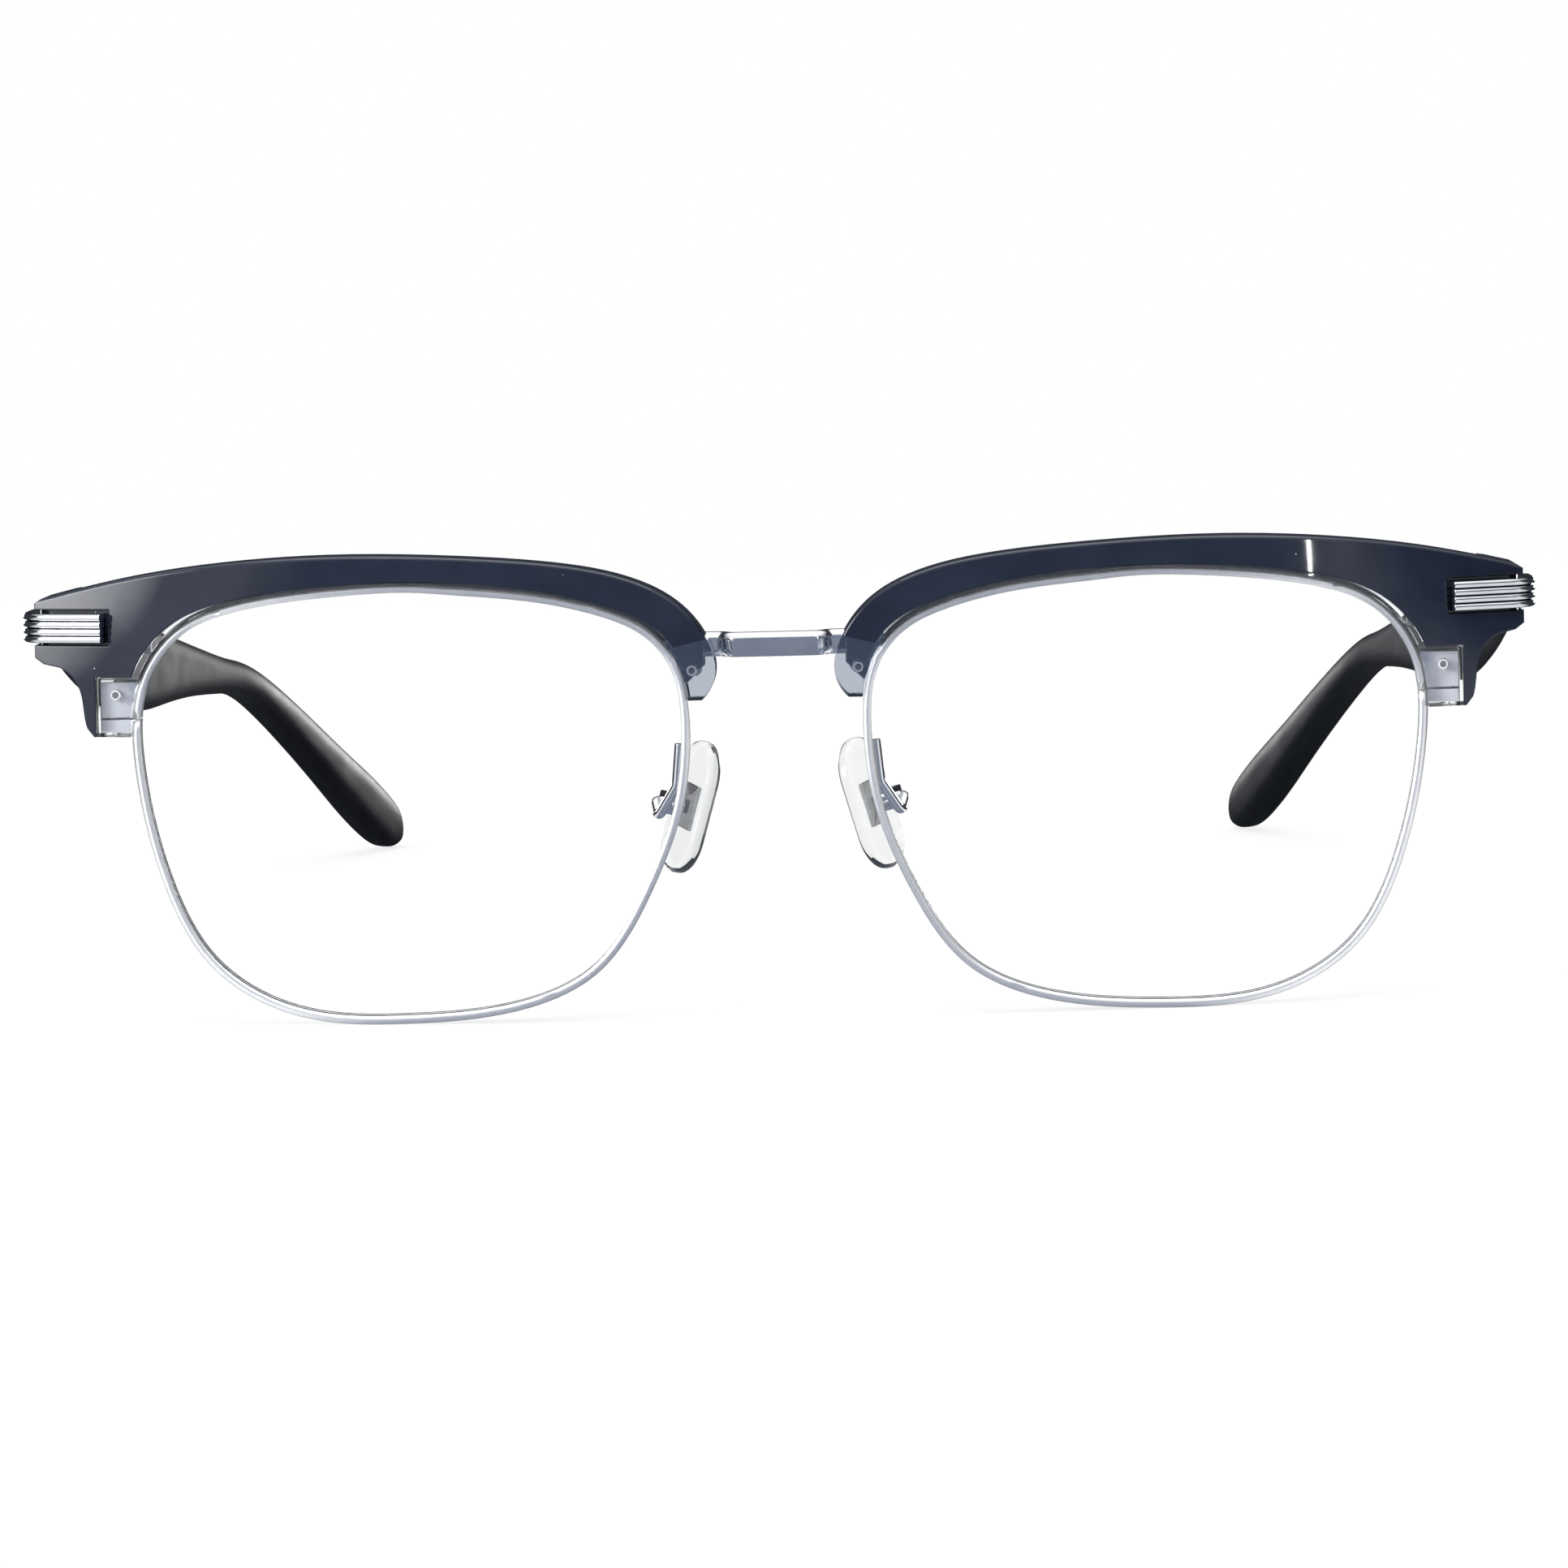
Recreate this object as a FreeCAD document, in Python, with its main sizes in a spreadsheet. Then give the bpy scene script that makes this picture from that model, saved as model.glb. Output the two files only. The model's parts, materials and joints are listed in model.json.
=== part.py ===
import math
import os

import FreeCAD
import Part
import Sketcher
from FreeCAD import Matrix, Placement, Rotation, Vector

# Browline glasses in millimetres, open, standing on the table.
# +Z is up, the front faces -Y, the temples run to +Y, +X is the wearer's left.
# The left side is built; the right side is its mirror image.

doc = FreeCAD.newDocument("BrowlineGlasses")

# Driving sizes

SIZES = (
    ("base_radius", 135.0, "radius of the middle surface of each lens"),
    ("base_side", 24.0, "distance of that surface's centre from the middle of the glasses"),
    ("base_height", 23.0, "height of that surface's centre above the table"),
    ("lens_thickness", 1.9, "lens, front to back"),
    ("tongue_width", 0.8, "tongue round the lens, front to back"),
    ("groove_depth", 0.35, "groove in the eyewire"),
    ("wire_wall", 0.45, "metal outside the groove"),
    ("wire_depth", 2.2, "eyewire, front to back"),
    ("fit_gap", 0.05, "clearance between pieces that are set into each other"),
    ("run_gap", 0.04, "radial clearance of a screw in a piece that turns on it"),
    ("brow_front", 2.2, "front face of the brow, ahead of the lens's middle surface"),
    ("brow_back", 2.0, "back face of the brow, behind the lens's middle surface"),
    ("brow_round", 0.35, "radius of the brow's long upper edges"),
    ("crystal_front", 2.0, "front face of the crystal band, ahead of the middle surface"),
    ("front_reach", 12.0, "start of the outlines' travel, ahead of the lens"),
    ("end_side", 73.2, "outer end of the brow, from the middle"),
    ("joint_depth", 14.5, "back face of the brow's end, behind the lens's foremost point"),
    ("joint_gap", 0.15, "gap between the brow's end and the temple"),
    ("split_height", 30.3, "height of the split in the eyewire"),
    ("split_gap", 0.24, "width of that split"),
    ("lock_inner", 62.5, "rim lock, side towards the lens"),
    ("lock_outer", 66.5, "rim lock, outer side"),
    ("lock_low", 29.0, "rim lock, underside"),
    ("lock_high", 33.9, "rim lock, upper side"),
    ("lock_front", 6.2, "rim lock, front face"),
    ("lock_back", 8.9, "rim lock, back face"),
    ("tab_inner", 7.0, "nose tab, nose side"),
    ("tab_outer", 10.6, "nose tab, lens side before it is fitted to the rim"),
    ("tab_low", 32.2, "nose tab, underside"),
    ("tab_high", 37.2, "nose tab, upper side"),
    ("tab_front", 1.8, "nose tab, front face"),
    ("tab_back", 4.05, "nose tab, back face"),
    ("tab_slant", 2.4, "slanted corner of the nose tab"),
    ("brow_screw_shank", 0.5, "radius of a brow screw"),
    ("brow_screw_head", 0.85, "radius of its head"),
    ("brow_screw_head_height", 0.7, "height of its head"),
    ("lock_screw_shank", 0.45, "radius of the rim lock screw"),
    ("lock_screw_head", 0.75, "radius of its head"),
    ("lock_screw_head_height", 0.5, "height of its head"),
    ("driver_room", 0.2, "room for a driver round that head"),
    ("bridge_height", 2.45, "bridge bar, top to bottom"),
    ("bridge_depth", 1.6, "bridge bar, front to back"),
    ("bridge_level", 36.4, "height of the bridge bar's middle"),
    ("bridge_front", 3.4, "middle line of the straight part of the bar, behind the lens"),
    ("bridge_straight", 4.25, "half length of the straight part"),
    ("bridge_run", 0.85, "length over which the bar steps back"),
    ("bridge_span", 10.2, "half length of the whole bar"),
    ("bridge_bend", 1.0, "radius of the bends"),
    ("plaque_height", 2.9, "corner plaque, top to bottom"),
    ("plaque_level", 39.35, "height of the plaque's middle"),
    ("plaque_start", 65.55, "inner end of the plaque, from the middle"),
    ("plaque_base", 1.4, "thickness of the plaque under its ribs"),
    ("plaque_seat", 0.4, "depth of the recess the plaque sits in"),
    ("plaque_border", 0.3, "gap round the plaque in its recess"),
    ("plaque_bend", 2.2, "radius at which the plaque turns the corner"),
    ("plaque_rear", 1.2, "brow left bare behind the plaque"),
    ("post_radius", 0.6, "rivet posts behind the plaque"),
    ("post_length", 1.4, "length of those posts"),
    ("temple_thickness", 4.0, "temple, side to side"),
    ("temple_level", 38.5, "height of the temple's middle line at the joint"),
    ("temple_length", 145.0, "temple along its middle line"),
    ("temple_round", 1.3, "radius of the temple's long edges"),
    ("shaft_length", 93.0, "straight part of the temple"),
    ("bend_radius", 36.0, "radius of the ear bend"),
    ("shaft_splay", 2.5, "shaft's turn towards the head in degrees"),
    ("shaft_drop", 8.2, "shaft's slope in degrees"),
    ("tip_splay", 21.5, "tip's turn towards the head in degrees"),
    ("tip_drop", 32.0, "tip's slope in degrees"),
    ("tip_round", 6.0, "length over which the tip is rounded off"),
    ("core_radius", 0.7, "core wire in the temple"),
    ("core_start", 14.0, "start of the core wire behind the joint"),
    ("core_end", 136.0, "end of the core wire behind the joint"),
    ("pin_inset", 0.9, "hinge pin's axis, inside the temple's inner face"),
    ("knuckle_radius", 1.25, "hinge knuckles"),
    ("knuckle_height", 1.1, "height of one knuckle"),
    ("knuckle_gap", 0.06, "gap between two knuckles"),
    ("knuckle_room", 0.35, "room round the knuckles in the acetate"),
    ("pin_radius", 0.6, "hinge screw's shank"),
    ("pin_head_radius", 1.1, "hinge screw's head"),
    ("pin_head_height", 0.7, "height of that head"),
    ("leaf_thickness", 0.9, "plates of the hinge leaves"),
    ("leaf_height", 4.4, "height of the plates"),
    ("front_leaf_start", 61.5, "inner end of the front leaf, from the middle"),
    ("front_leaf_seat", 0.25, "acetate between the plaque's posts and the seat of the front leaf"),
    ("front_leaf_web", 1.6, "thickness of the web that carries the front knuckles"),
    ("temple_leaf_length", 12.5, "plate in the temple"),
    ("rivet_radius", 0.5, "rivets of that plate"),
    ("rivet_length", 2.0, "length of those rivets"),
    ("pad_length", 13.4, "nose pad, long way"),
    ("pad_width", 7.8, "nose pad, front to back"),
    ("pad_thickness", 1.5, "nose pad, thickness"),
    ("pad_round", 0.6, "radius of the pad's edges"),
    ("pad_side", 9.6, "middle of the pad's back, from the middle of the glasses"),
    ("pad_depth", 8.3, "middle of the pad's back, behind the lens"),
    ("pad_level", 20.2, "middle of the pad's back, above the table"),
    ("pad_tilt", 16.0, "lean of the pad towards the nose in degrees"),
    ("pad_splay", 26.0, "turn of the pad towards the face in degrees"),
    ("pad_pivot", 1.15, "pad screw's axis behind the pad"),
    ("pad_screw_radius", 0.4, "pad screw"),
    ("pad_screw_head", 0.65, "head of the pad screw"),
    ("pad_screw_head_height", 0.35, "height of that head"),
    ("pad_box_size", 2.0, "pad box, each way"),
    ("pad_box_gap", 0.4, "gap between pad and box"),
    ("pad_eye_thickness", 0.8, "eye of the pad insert"),
    ("pad_eye_width", 1.4, "width of that eye"),
    ("pad_eye_gap", 0.1, "room beside the eye"),
    ("pad_plate_length", 4.4, "plate inside the pad, long way"),
    ("pad_plate_width", 3.0, "plate inside the pad, short way"),
    ("pad_plate_thickness", 0.5, "plate inside the pad, thickness"),
    ("arm_radius", 0.5, "pad arm's wire"),
    ("arm_bend", 0.8, "radius of the arm's bends"),
)

sheet = doc.addObject("Spreadsheet::Sheet", "Sizes")
for row, (alias, value, note) in enumerate(SIZES, start=1):
    sheet.set("A%d" % row, note)
    sheet.set("B%d" % row, str(value))
    sheet.setAlias("B%d" % row, alias)
doc.recompute()


def size(alias):
    """Value of a driving size."""
    return float(sheet.get(alias))


# Outlines seen from the front, as (distance from the middle, height above the table)

# Edge of the lens, the tip of its tongue
LENS_EDGE = (
    (33.0, 42.62), (23.8, 41.70), (16.8, 40.08), (12.4, 37.95), (9.9, 34.9), (8.85, 29.0), (9.83, 20.75),
    (13.1, 12.55), (18.4, 5.10), (26.5, 1.55), (37.0, 0.50), (48.0, 1.35), (56.2, 6.25),
    (60.4, 14.2), (62.75, 25.0), (62.1, 34.0), (58.1, 39.0), (51.75, 41.35), (42.4, 42.52),
)
LENS_MIDDLE = (36.0, 21.5)

# Top edge of the brow from the foot of its nose end to its outer end
BROW_TOP = (
    (7.1, 31.4), (5.75, 34.2), (6.6, 37.4), (9.5, 40.9), (14.1, 43.3), (21.15, 44.85),
    (30.6, 45.7), (42.4, 46.05), (54.5, 45.4), (64.3, 44.0),
)
BROW_PEAK = BROW_TOP[7]
# Outer end and lug, as (distance inside the end, height): the last of the top edge, the end, the lug
BROW_TOP_END = ((4.7, 43.1), (0.7, 42.15))
BROW_END = ((0.0, 41.7), (0.0, 36.4), (0.9, 35.77))
LUG_CURVE = ((2.5, 35.45), (3.9, 34.5), (4.7, 33.0), (5.0, 31.0), (5.3, 29.5))
LUG_FOOT = (6.0, 28.65)
# Closing points inside the lens opening, where the outline is cut away
OPENING_OUTER = (58.0, 28.65)
OPENING_INNER = (14.0, 31.4)

# Edge between black acetate and crystal: straight at the nose, along the lens, then round the outer block
CRYSTAL_NOSE = ((4.0, 37.9), (9.75, 36.6))
CRYSTAL_EDGE = (
    (9.75, 36.6), (11.75, 38.7), (16.45, 40.85), (23.5, 42.5), (32.9, 43.4), (42.4, 43.3),
    (52.0, 42.15), (58.4, 40.05), (62.0, 36.75), (63.2, 34.5),
)
CRYSTAL_BLOCK_HIGH = (66.95, 34.5)
CRYSTAL_LOW = 27.0

# Places of the two brow screws and the rim lock screw
NOSE_SCREW = (8.1, 34.2)
OUTER_SCREW = (64.95, 32.7)
NOSE_SCREW_TIP = 0.4
OUTER_SCREW_TIP = 5.3
LOCK_SCREW_SIDE = 65.6
LOCK_SCREW_DEPTH = 7.6
LOCK_SCREW_TIP = 31.8

# Half heights of the temple above and below its middle line, by distance from the joint
TEMPLE_HEIGHTS = (
    (-2.0, 2.9, 2.7), (3.0, 3.05, 3.4), (9.0, 3.2, 4.7), (17.0, 3.3, 5.9), (25.0, 3.2, 6.6),
    (34.0, 2.95, 6.4), (45.0, 2.6, 5.2), (64.0, 2.2, 3.3), (82.0, 2.0, 2.1), (100.0, 2.0, 1.8),
    (112.0, 2.3, 2.05), (125.0, 2.7, 2.65), (139.0, 2.9, 3.1),
)
TIP_STEPS = (0.5, 0.8, 0.95)

# Corners of the pad arm before its end at the pad box
ARM_START = (9.55, 2.6, 26.9)
ARM_KNEE = (9.95, 2.7, 22.8)
ARM_LOOP = (11.9, 4.4, 19.6)
ARM_LEAD = 0.8

KNUCKLES = 5
RIBS = 4

# Shares and allowances used while shaping
PAST = 1.0            # how far a cutting tool runs past the faces it cuts
ROOT = 0.3            # how far joined blocks run into each other
LEVEL = 0.01          # height difference within which an edge counts as level
SLOT_LENGTH = 4.0     # cut for a screw slot, as a share of the head's radius
SLOT_WIDTH = 0.3      # width of that slot, as a share of the head's radius
SLOT_FLOOR = 0.55     # floor of the slot, as a share of the head's height
POST_SHARES = (0.2, 0.8)     # places of the plaque's posts along its front
RIVET_SHARES = (0.35, 0.8)   # places of the rivets along the temple leaf
ROUND_SHARE = 0.45    # most of a section's side that one round edge takes
TIP_END = 0.985       # share of the tip's rounding at which it ends
TIP_SLIM = 0.35       # thickness that is left at the very tip, as a share


# Positions that follow from the sizes

def direction(splay, drop):
    """Unit vector of a temple run on the left side, from its two angles in degrees."""
    turn = math.radians(splay)
    fall = math.radians(drop)
    return Vector(-math.sin(turn) * math.cos(fall), math.cos(turn) * math.cos(fall), -math.sin(fall))


shaft_way = direction(size("shaft_splay"), size("shaft_drop"))
tip_way = direction(size("tip_splay"), size("tip_drop"))
bend_angle = shaft_way.getAngle(tip_way)
bend_side = (tip_way - shaft_way * tip_way.dot(shaft_way)).normalize()
bend_length = size("bend_radius") * bend_angle
temple_side = size("end_side") - size("temple_thickness") / 2
temple_start = Vector(temple_side, size("joint_depth"), size("temple_level"))
bend_start = temple_start + shaft_way * size("shaft_length")


def bend_point(angle):
    """Point on the ear bend, by the angle turned."""
    radius = size("bend_radius")
    return bend_start + shaft_way * (radius * math.sin(angle)) + bend_side * (radius * (1 - math.cos(angle)))


def temple_line(along):
    """Point and direction of the temple's middle line."""
    if along <= size("shaft_length"):
        return temple_start + shaft_way * along, shaft_way
    past = along - size("shaft_length")
    if past <= bend_length:
        angle = past / size("bend_radius")
        return bend_point(angle), shaft_way * math.cos(angle) + bend_side * math.sin(angle)
    return bend_point(bend_angle) + tip_way * (past - bend_length), tip_way


def surface(side, height, ahead):
    """Depth of the surface that runs a given distance ahead of the lenses' middle surface."""
    reach = size("base_radius") + ahead
    off_centre = math.hypot(side - size("base_side"), height - size("base_height"))
    return size("base_radius") - math.sqrt(reach ** 2 - off_centre ** 2)


# The origin lies in the middle of the overall depth, from the lenses' foremost point to the temple tips
foremost = -size("lens_thickness") / 2
rearmost = temple_line(size("temple_length"))[0].y
middle_depth = (foremost + rearmost) / 2
ORIGIN = Vector(0, -middle_depth, 0)

pin_side = size("end_side") - size("temple_thickness") - size("pin_inset")
pin_low = size("temple_level") - KNUCKLES * size("knuckle_height") / 2
pin_high = size("temple_level") + KNUCKLES * size("knuckle_height") / 2


# Helpers

def spot(side, depth, height):
    """Point of the model from side, depth behind the lens and height."""
    return ORIGIN + Vector(side, depth, height)


def add(kind, label):
    """New document object under a label of its own."""
    item = doc.addObject(kind, label)
    item.Label = label
    return item


def shaped(label, shape):
    """Outline or path drawn from points."""
    item = add("Part::Feature", label)
    item.Shape = shape
    return item


def bound(item, **cells):
    """Tie properties of an object to the sheet."""
    for name, expression in cells.items():
        item.setExpression(name, expression)
    return item


def block(label, low, high):
    """Box between two opposite corners."""
    item = add("Part::Box", label)
    item.Length = high.x - low.x
    item.Width = high.y - low.y
    item.Height = high.z - low.z
    item.Placement = Placement(low, Rotation())
    return item


def rod(label, start, way, radius, length):
    """Cylinder whose radius and length are expressions on the sheet."""
    item = add("Part::Cylinder", label)
    bound(item, Radius=radius, Height=length)
    item.Placement = Placement(start, Rotation(Vector(0, 0, 1), way))
    return item


def dome(label, radius):
    """Ball about the centre of the left lens's surfaces."""
    item = add("Part::Sphere", label)
    bound(item, Radius=radius)
    item.Placement = Placement(spot(size("base_side"), size("base_radius"), size("base_height")), Rotation())
    return item


def cut(label, base, tool):
    item = add("Part::Cut", label)
    item.Base = base
    item.Tool = tool
    return item


def common(label, base, tool):
    item = add("Part::Common", label)
    item.Base = base
    item.Tool = tool
    return item


def fuse(label, *items):
    item = add("Part::MultiFuse", label)
    item.Shapes = list(items)
    return item


def shell(label, front, back):
    """Layer between two balls, given by their radii as expressions."""
    return cut(label, dome(label + "Front", front), dome(label + "Back", back))


def column(label, face, length):
    """Flat outline carried along +Y by a length on the sheet."""
    item = add("Part::Extrusion", label)
    item.Base = face
    item.DirMode = "Custom"
    item.Dir = Vector(0, 1, 0)
    item.Solid = True
    bound(item, LengthFwd=length)
    return item


def flat(pair):
    """Point of an outline, in the plane where the outlines start."""
    return spot(pair[0], -size("front_reach"), pair[1])


def curve(pairs):
    """Smooth open edge through outline points."""
    line = Part.BSplineCurve()
    line.interpolate([flat(pair) for pair in pairs])
    return line.toShape()


def straight(*pairs):
    """Straight edges through outline points."""
    ends = [flat(pair) for pair in pairs]
    return [Part.makeLine(first, second) for first, second in zip(ends, ends[1:])]


def lens_ring(grow):
    """Closed edge round the lens, moved out from the tongue's tip by a distance."""
    points = [flat(pair) for pair in LENS_EDGE]
    line = Part.BSplineCurve()
    line.interpolate(Points=points, PeriodicFlag=True)
    centre = flat(LENS_MIDDLE)
    moved = []
    for point in points:
        way = line.tangent(line.parameter(point))[0]
        out = Vector(way.z, 0, -way.x)
        if out.dot(point - centre) < 0:
            out = out * -1
        moved.append(point + out * grow)
    ring = Part.BSplineCurve()
    ring.interpolate(Points=moved, PeriodicFlag=True)
    return Part.Wire([ring.toShape()])


def rounded_path(points, radius):
    """Path of straight runs with a round bend at each corner."""
    edges = []
    last = points[0]
    for before, corner, after in zip(points, points[1:], points[2:]):
        back = (before - corner).normalize()
        on = (after - corner).normalize()
        half = back.getAngle(on) / 2
        reach = radius / math.tan(half)
        middle = corner + (back + on).normalize() * (radius / math.sin(half) - radius)
        edges.append(Part.makeLine(last, corner + back * reach))
        edges.append(Part.Arc(corner + back * reach, middle, corner + on * reach).toShape())
        last = corner + on * reach
    edges.append(Part.makeLine(last, points[-1]))
    return Part.Wire(edges)


def sweep(label, path, radius):
    """Round wire along a path."""
    edges = path.Shape.Edges
    ring = add("Part::Circle", label + "Ring")
    bound(ring, Radius=radius)
    ring.Placement = Placement(edges[0].valueAt(edges[0].FirstParameter),
                               Rotation(Vector(0, 0, 1), edges[0].tangentAt(edges[0].FirstParameter)))
    item = add("Part::Sweep", label)
    item.Sections = [ring]
    item.Spine = (path, ["Edge%d" % (number + 1) for number in range(len(edges))])
    item.Solid = True
    item.Frenet = False
    return item


def screw(label, start, way, names, length):
    """Slotted screw: shank from start along way, head on the other side of start."""
    shank_radius, head_radius, head_height = names
    back = way * -1
    shank = rod(label + "Shank", start, way, "Sizes." + shank_radius, str(length))
    head = rod(label + "Head", start, back, "Sizes." + head_radius, "Sizes." + head_height)
    slot = add("Part::Box", label + "Slot")
    bound(slot, Length="Sizes.%s * %s" % (head_radius, SLOT_LENGTH),
          Width="Sizes.%s * %s" % (head_radius, SLOT_WIDTH), Height="Sizes.%s" % head_height)
    turn = Rotation(Vector(0, 0, 1), back)
    corner = Vector(-SLOT_LENGTH / 2 * size(head_radius), -SLOT_WIDTH / 2 * size(head_radius),
                    SLOT_FLOOR * size(head_height))
    slot.Placement = Placement(start + turn.multVec(corner), turn)
    return cut(label, fuse(label + "Blank", shank, head), slot)


def nearest_edge(shape, point):
    """Number of the edge that passes nearest to a point."""
    probe = Part.Vertex(point)
    gaps = [edge.distToShape(probe)[0] for edge in shape.Edges]
    return gaps.index(min(gaps)) + 1


def rounded(label, base, points, radius):
    """Fillet along the edges that pass nearest to some points."""
    doc.recompute()
    item = add("Part::Fillet", label)
    item.Base = base
    item.Edges = [(nearest_edge(base.Shape, point), radius, radius) for point in points]
    return item


def on_layer(pair, ahead):
    """Point at an outline's place on the surface a given distance ahead of the middle surface."""
    return spot(pair[0], surface(pair[0], pair[1], ahead), pair[1])


def origin_plane(body, role):
    """Plane of a body's own origin."""
    return [item for item in body.Origin.OriginFeatures if item.Role == role][0]


def sketch_on(body, label, role):
    """Empty sketch on one of a body's origin planes."""
    sketch = body.newObject("Sketcher::SketchObject", label)
    sketch.AttachmentSupport = [(origin_plane(body, role), "")]
    sketch.MapMode = "FlatFace"
    return sketch


PIECES = []


def piece(label, item):
    """Finished left piece, with its mirror image for the right side."""
    item.Label = "left_" + label
    twin = add("Part::Mirroring", "right_" + label)
    twin.Source = item
    twin.Normal = Vector(1, 0, 0)
    PIECES.append(item)
    PIECES.append(twin)
    return item


# Lens and eyewire: outlines carried through the lens's curved layers

def ring_column(label, grow):
    face = shaped(label + "Face", Part.Face(lens_ring(grow)))
    return column(label, face, "Sizes.front_reach + Sizes.joint_depth")


wire_inside = -size("groove_depth")
wire_outside = size("wire_wall")

lens_body = common("LensBody", ring_column("LensColumn", wire_inside - size("fit_gap")),
                   shell("LensLayer", "Sizes.base_radius + Sizes.lens_thickness / 2",
                         "Sizes.base_radius - Sizes.lens_thickness / 2"))
lens_tongue = common("LensTongue", ring_column("TongueColumn", 0.0),
                     shell("TongueLayer", "Sizes.base_radius + Sizes.tongue_width / 2",
                           "Sizes.base_radius - Sizes.tongue_width / 2"))
piece("lens", fuse("Lens", lens_body, lens_tongue))

rim_column = ring_column("RimColumn", wire_outside)
wire_column = cut("WireColumn", rim_column, ring_column("WireOpening", wire_inside))
wire_layer = shell("WireLayer", "Sizes.base_radius + Sizes.wire_depth / 2",
                   "Sizes.base_radius - Sizes.wire_depth / 2")
groove = common("Groove", ring_column("GrooveColumn", size("fit_gap")),
                shell("GrooveLayer", "Sizes.base_radius + Sizes.tongue_width / 2 + Sizes.fit_gap",
                      "Sizes.base_radius - Sizes.tongue_width / 2 - Sizes.fit_gap"))
split_low = size("split_height") - size("split_gap") / 2
split_high = size("split_height") + size("split_gap") / 2
split = block("Split", spot(size("lock_inner") - 2 * PAST, foremost, split_low),
              spot(size("lock_outer"), size("joint_depth"), split_high))
wire_ring = common("WireRing", wire_column, wire_layer)
piece("eyewire", cut("Eyewire", wire_ring, fuse("WireCuts", groove, split)))

# Brow and crystal band: one outline, divided along the crystal's edge

end_side = size("end_side")


def from_end(pairs):
    """Outline points given by their distance inside the brow's end."""
    return [(end_side - inset, height) for inset, height in pairs]


brow_top = list(BROW_TOP) + from_end(BROW_TOP_END)
brow_end = from_end(BROW_END)
lug_curve = from_end(LUG_CURVE)
lug_foot = from_end([LUG_FOOT])[0]
brow_wire = Part.Wire(
    [curve(brow_top)]
    + straight(brow_top[-1], *brow_end, lug_curve[0])
    + [curve(lug_curve)]
    + straight(lug_curve[-1], lug_foot, OPENING_OUTER, OPENING_INNER, BROW_TOP[0]))
crystal_wire = Part.Wire(
    straight(*CRYSTAL_NOSE)
    + [curve(CRYSTAL_EDGE)]
    + straight(CRYSTAL_EDGE[-1], CRYSTAL_BLOCK_HIGH, (CRYSTAL_BLOCK_HIGH[0], CRYSTAL_LOW),
               (CRYSTAL_NOSE[0][0], CRYSTAL_LOW), CRYSTAL_NOSE[0]))
through = "Sizes.front_reach + Sizes.joint_depth"
whole_column = column("WholeColumn", shaped("WholeFace", Part.Face(brow_wire)), through)
crystal_column = column("CrystalColumn", shaped("CrystalFace", Part.Face(crystal_wire)), through)
rim_room = ring_column("RimRoom", wire_outside + size("fit_gap"))
back_dome = dome("BackDome", "Sizes.base_radius - Sizes.brow_back")

# The end of the brow keeps its full depth as far as the joint
end_block = block("EndBlock", spot(end_side - size("temple_thickness"), foremost, 0),
                  spot(end_side + size("temple_thickness"), size("joint_depth") + PAST,
                       2 * size("temple_level")))
back_tool = cut("BackTool", back_dome, end_block)

# Corner plaque: ribs carried along the brow's front and round its end
seat_level = size("plaque_level")
start_depth = surface(size("plaque_start"), seat_level, size("brow_front")) + size("plaque_seat")
turn_depth = surface(end_side, seat_level, size("brow_front")) + size("plaque_seat")
plaque_slope = math.atan2(turn_depth - start_depth, end_side - size("plaque_start"))
plaque_turn = math.pi / 2 - plaque_slope
seat_side = end_side - size("plaque_seat")
to_corner = (seat_side - size("plaque_start")) / math.cos(plaque_slope)
corner_depth = start_depth + to_corner * math.sin(plaque_slope)
bend_reach = size("plaque_bend") * math.tan(plaque_turn / 2)
front_leg = to_corner - bend_reach
side_leg = size("joint_depth") - size("plaque_rear") - corner_depth - bend_reach
rib_pitch = size("plaque_height") / RIBS

plaque = add("PartDesign::Body", "Plaque")
plaque_path = sketch_on(plaque, "PlaquePath", "XY_Plane")
bend_centre = Vector(front_leg, size("plaque_bend"), 0)
bend_end = bend_centre + Vector(math.sin(plaque_turn), -math.cos(plaque_turn), 0) * size("plaque_bend")
leg_end = bend_end + Vector(math.cos(plaque_turn), math.sin(plaque_turn), 0) * side_leg
plaque_path.addGeometry(Part.LineSegment(Vector(0, 0, 0), Vector(front_leg, 0, 0)))
plaque_path.addGeometry(Part.ArcOfCircle(Part.Circle(bend_centre, Vector(0, 0, 1), size("plaque_bend")),
                                         -math.pi / 2, -math.pi / 2 + plaque_turn))
plaque_path.addGeometry(Part.LineSegment(bend_end, leg_end))
plaque_section = sketch_on(plaque, "PlaqueSection", "YZ_Plane")
half_height = size("plaque_height") / 2
rib_foot = -size("plaque_base")
plaque_section.addGeometry(Part.LineSegment(Vector(rib_foot, half_height, 0), Vector(0, half_height, 0)))
plaque_section.addGeometry(Part.LineSegment(Vector(0, half_height, 0), Vector(0, -half_height, 0)))
plaque_section.addGeometry(Part.LineSegment(Vector(0, -half_height, 0), Vector(rib_foot, -half_height, 0)))
for rib in range(RIBS):
    rib_level = -half_height + rib_pitch / 2 + rib * rib_pitch
    rib_circle = Part.Circle(Vector(rib_foot, rib_level, 0), Vector(0, 0, 1), rib_pitch / 2)
    plaque_section.addGeometry(Part.ArcOfCircle(rib_circle, math.pi / 2, 3 * math.pi / 2))
plaque_pipe = plaque.newObject("PartDesign::AdditivePipe", "PlaquePipe")
plaque_pipe.Profile = plaque_section
plaque_pipe.Spine = plaque_path
post_sketch = sketch_on(plaque, "PostSketch", "XZ_Plane")
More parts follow.
